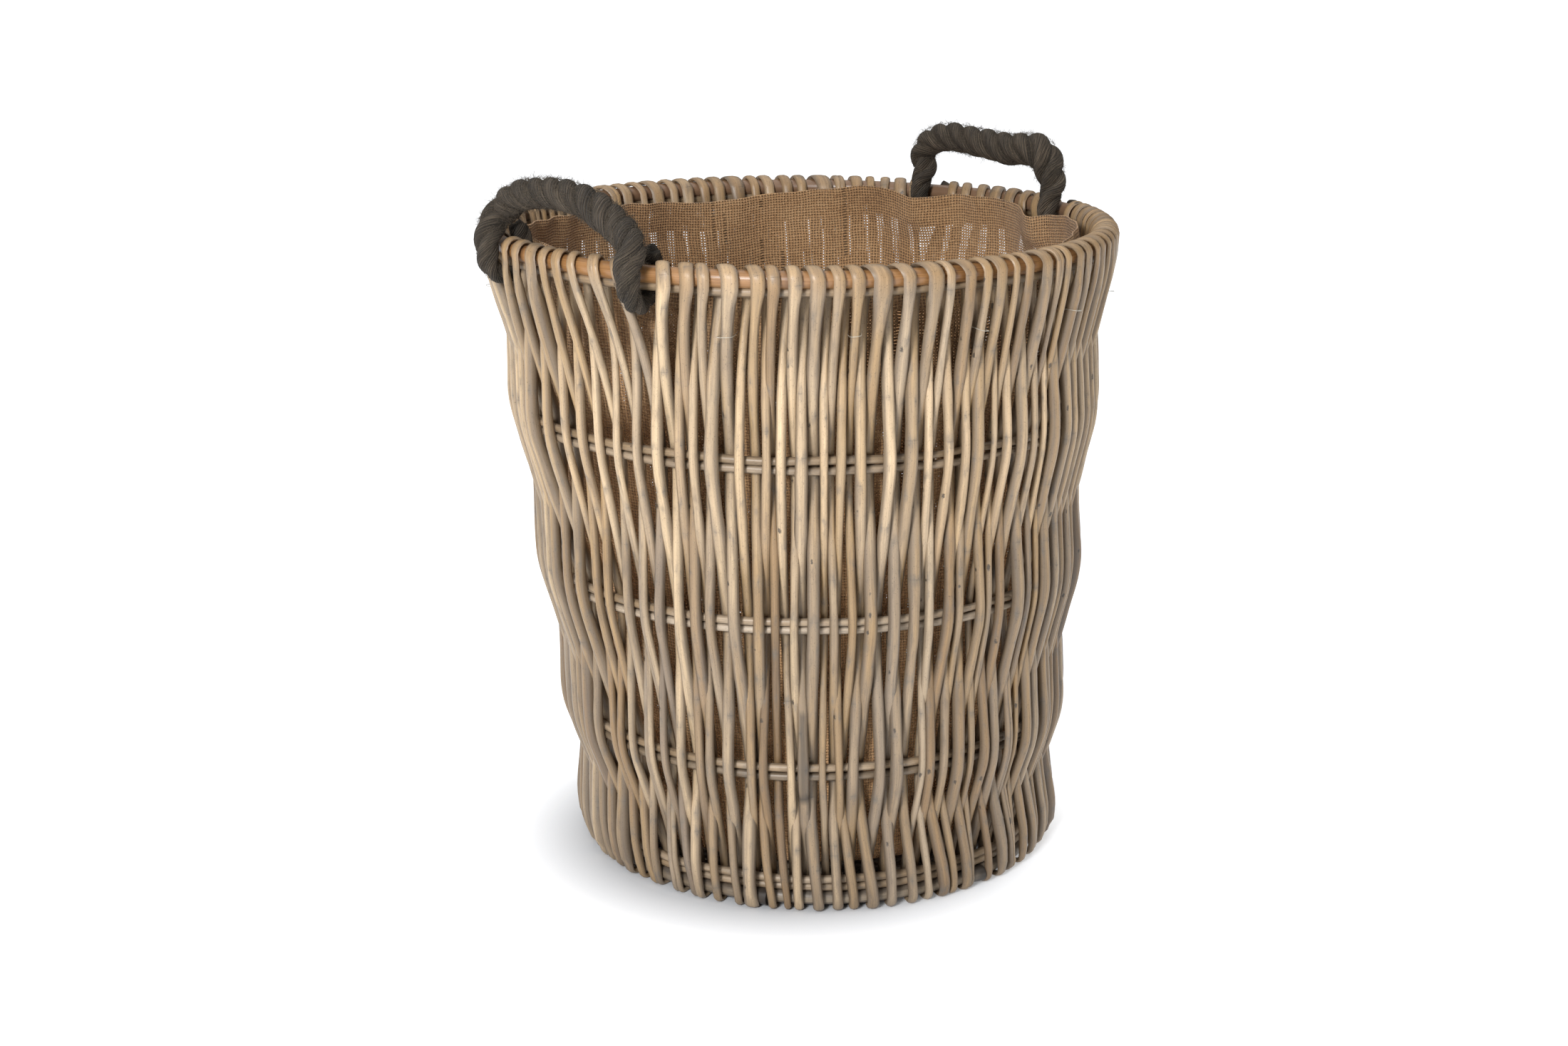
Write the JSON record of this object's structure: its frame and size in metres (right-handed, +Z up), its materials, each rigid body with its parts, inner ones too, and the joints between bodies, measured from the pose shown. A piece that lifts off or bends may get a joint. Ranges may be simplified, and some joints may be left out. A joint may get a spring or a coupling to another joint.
{
  "type": "woven laundry basket",
  "caption": "Tall round willow laundry basket, slightly tapered, with rods folded over a cane rim, rod bands, a hessian liner and swinging rope handles.",
  "frame": {"origin": "on the floor under the centre of the rim", "axes": "+Z up, +X towards the right rope handle, -X towards the left one, whose hinge lines run along Y"},
  "size_m": [0.5018, 0.5018, 0.5535],
  "materials": {
    "willow": "greyed natural willow, satin on the folds",
    "pale_rod": "pale thin willow rod, dull",
    "cane": "brown rattan cane, satin",
    "base_willow": "dark unpeeled willow, dull",
    "hessian": "open plain weave of natural jute",
    "thread": "thin clear monofilament",
    "rope": "dark charcoal three-strand rope with loose fibres"
  },
  "bodies": {
    "basket": {"rim_cane": "cane", "under_rim_hoop": "pale_rod", "upper_band_top_rod": "pale_rod", "upper_band_bottom_rod": "pale_rod", "middle_band_top_rod": "pale_rod", "middle_band_bottom_rod": "pale_rod", "lower_band_top_rod": "pale_rod", "lower_band_bottom_rod": "pale_rod", "foot_hoop": "willow", "foot_thin_hoop_lower": "pale_rod", "foot_thin_hoop_upper": "pale_rod", "stakes_left": "willow", "stakes_right": "willow", "stakes_front_1": "willow", "stakes_front_2": "willow", "stakes_front_3": "willow", "stakes_front_4": "willow", "stakes_back_1": "willow", "stakes_back_2": "willow", "stakes_back_3": "willow", "stakes_back_4": "willow", "base_sticks_lower": "base_willow", "base_sticks_upper": "base_willow", "base_weave_bottom": "base_willow", "base_weave_top": "base_willow", "liner_side": "hessian", "liner_base": "hessian", "liner_ties": "thread"},
    "left_handle": {"rope_handle_left": "rope"},
    "right_handle": {"rope_handle_right": "rope"}
  },
  "joints": [
    {"name": "left_handle_swing", "type": "hinge", "parent": "basket", "child": "left_handle", "pos_m": [-0.22584, 0, 0.491], "axis": [0, -1, 0], "range_deg": [-70, 80]},
    {"name": "right_handle_swing", "type": "hinge", "parent": "basket", "child": "right_handle", "pos_m": [0.22584, 0, 0.491], "axis": [0, 1, 0], "range_deg": [-70, 80]}
  ]
}
